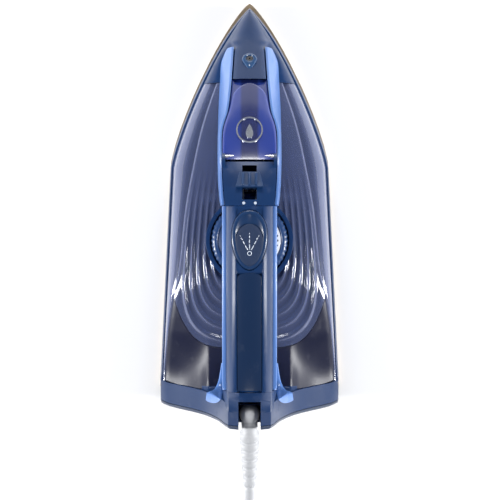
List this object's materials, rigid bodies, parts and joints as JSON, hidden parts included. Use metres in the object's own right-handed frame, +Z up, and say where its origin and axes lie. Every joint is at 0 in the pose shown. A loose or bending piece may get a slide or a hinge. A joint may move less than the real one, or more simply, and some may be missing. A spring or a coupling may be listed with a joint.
{
  "type": "steam iron",
  "caption": "Corded steam iron with a drilled soleplate, clear water tank, hinged filler lid, steam slider, spray button, temperature dial and tilting cord guard.",
  "frame": {"origin": "on the soleplate's underside (mount sole_face), on its centre line and midway between the tip and the heel's rearmost point", "axes": "+Y towards the tip of the soleplate, +X to the right seen from above with the tip away, +Z up"},
  "size_m": [0.1655, 0.4981, 0.1503],
  "materials": {
    "sole_coating": "satin bronze-coloured coating",
    "casting": "as cast",
    "heater_steel": "heat-darkened",
    "ceramic": "unglazed ceramic",
    "steel": "plain",
    "white_plastic": "semi-gloss",
    "brass": "plain",
    "black_plastic": "matt",
    "navy": "satin navy",
    "navy_dark": "satin navy",
    "smoke_tank": "clear smoky polycarbonate",
    "dial_blue": "satin",
    "dial_white": "satin",
    "deck_gloss": "high gloss",
    "nozzle_blue": "gloss",
    "pale_blue": "satin pale blue",
    "lid_blue": "translucent blue",
    "badge": "polished",
    "seal_rubber": "matt",
    "slider_blue": "satin",
    "lens": "clear",
    "grip": "matt soft grip",
    "button_blue": "gloss",
    "pad": "fine stipple",
    "tube_clear": "translucent silicone",
    "cord_white": "matt",
    "lead_red": "matt"
  },
  "bodies": {
    "base": {"soleplate": "sole_coating", "sole_casting": "casting", "heating_element": "heater_steel", "element_terminals": "ceramic", "steam_cover": "steel", "thermostat": "ceramic", "spindle_bush": "white_plastic", "thermal_fuse": "brass", "heat_shield": "black_plastic", "skirt": "navy", "tank_floor": "smoke_tank", "tank_shell": "smoke_tank", "tank_window": "smoke_tank", "dial_well": "navy", "rear_deck": "deck_gloss", "heel_frame": "navy", "rear_cover": "navy_dark", "handle_rear": "navy", "nose_cover": "navy", "spray_nozzle": "nozzle_blue", "nozzle_tip": "black_plastic", "side_trim_left": "pale_blue", "side_trim_right": "pale_blue", "column_back": "pale_blue", "filler_mouth": "lid_blue", "lid_hinge_pin": "steel", "control_panel": "navy", "indicator_lenses": "lens", "handle_upper": "navy", "handle_lower": "pale_blue", "grip_insert": "grip", "pump_body": "white_plastic", "pump_spring": "steel", "inlet_tube": "tube_clear", "spray_tube": "tube_clear", "valve_seat": "brass", "rod_gland": "seal_rubber", "guard_socket": "black_plastic", "cord_tail": "cord_white", "terminal_block": "white_plastic", "power_leads": "lead_red", "base_screws": "steel", "heel_screws": "steel", "cord_lead": "cord_white", "cord_coil": "cord_white", "cord_tie": "black_plastic", "plug_body": "cord_white", "plug_pins": "brass"},
    "dial": {"temperature_dial": "dial_blue", "dial_cap": "dial_white", "thermostat_spindle": "steel"},
    "lid": {"filler_lid": "lid_blue", "lid_badge": "badge", "lid_seal": "seal_rubber"},
    "slider": {"steam_slider": "slider_blue"},
    "rod": {"dosing_rod": "steel"},
    "button": {"spray_button": "button_blue", "button_pad": "pad", "pump_piston": "white_plastic"},
    "guard": {"cord_guard": "cord_white"}
  },
  "joints": [
    {"name": "dial_turn", "type": "hinge", "parent": "base", "child": "dial", "pos_m": [0, -0.017, 0.0628], "axis": [0, 0, 1], "range_deg": [0, 300]},
    {"name": "lid_open", "type": "hinge", "parent": "base", "child": "lid", "pos_m": [0, 0.0352, 0.13193], "axis": [1, 0, 0], "range_deg": [0, 75]},
    {"name": "slider_move", "type": "slide", "parent": "base", "child": "slider", "axis": [0, -0.9343, 0.3565], "range_m": [-0.004, 0.007]},
    {"name": "rod_lift", "type": "slide", "parent": "base", "child": "rod", "axis": [0, 0, 1], "range_m": [-0.0015, 0.0026]},
    {"name": "button_press", "type": "slide", "parent": "base", "child": "button", "axis": [0, 0, -1], "range_m": [0, 0.0035], "stiffness_N_per_m": 400, "springref_m": -0.003, "deforming": ["pump_spring"]},
    {"name": "guard_tilt", "type": "hinge", "parent": "base", "child": "guard", "pos_m": [0, -0.127, 0.104], "axis": [1, 0, 0], "range_deg": [-30, 12]}
  ],
  "couplings": [
    {"joint": "rod_lift", "follows": "slider_move", "ratio": 0.3565}
  ]
}
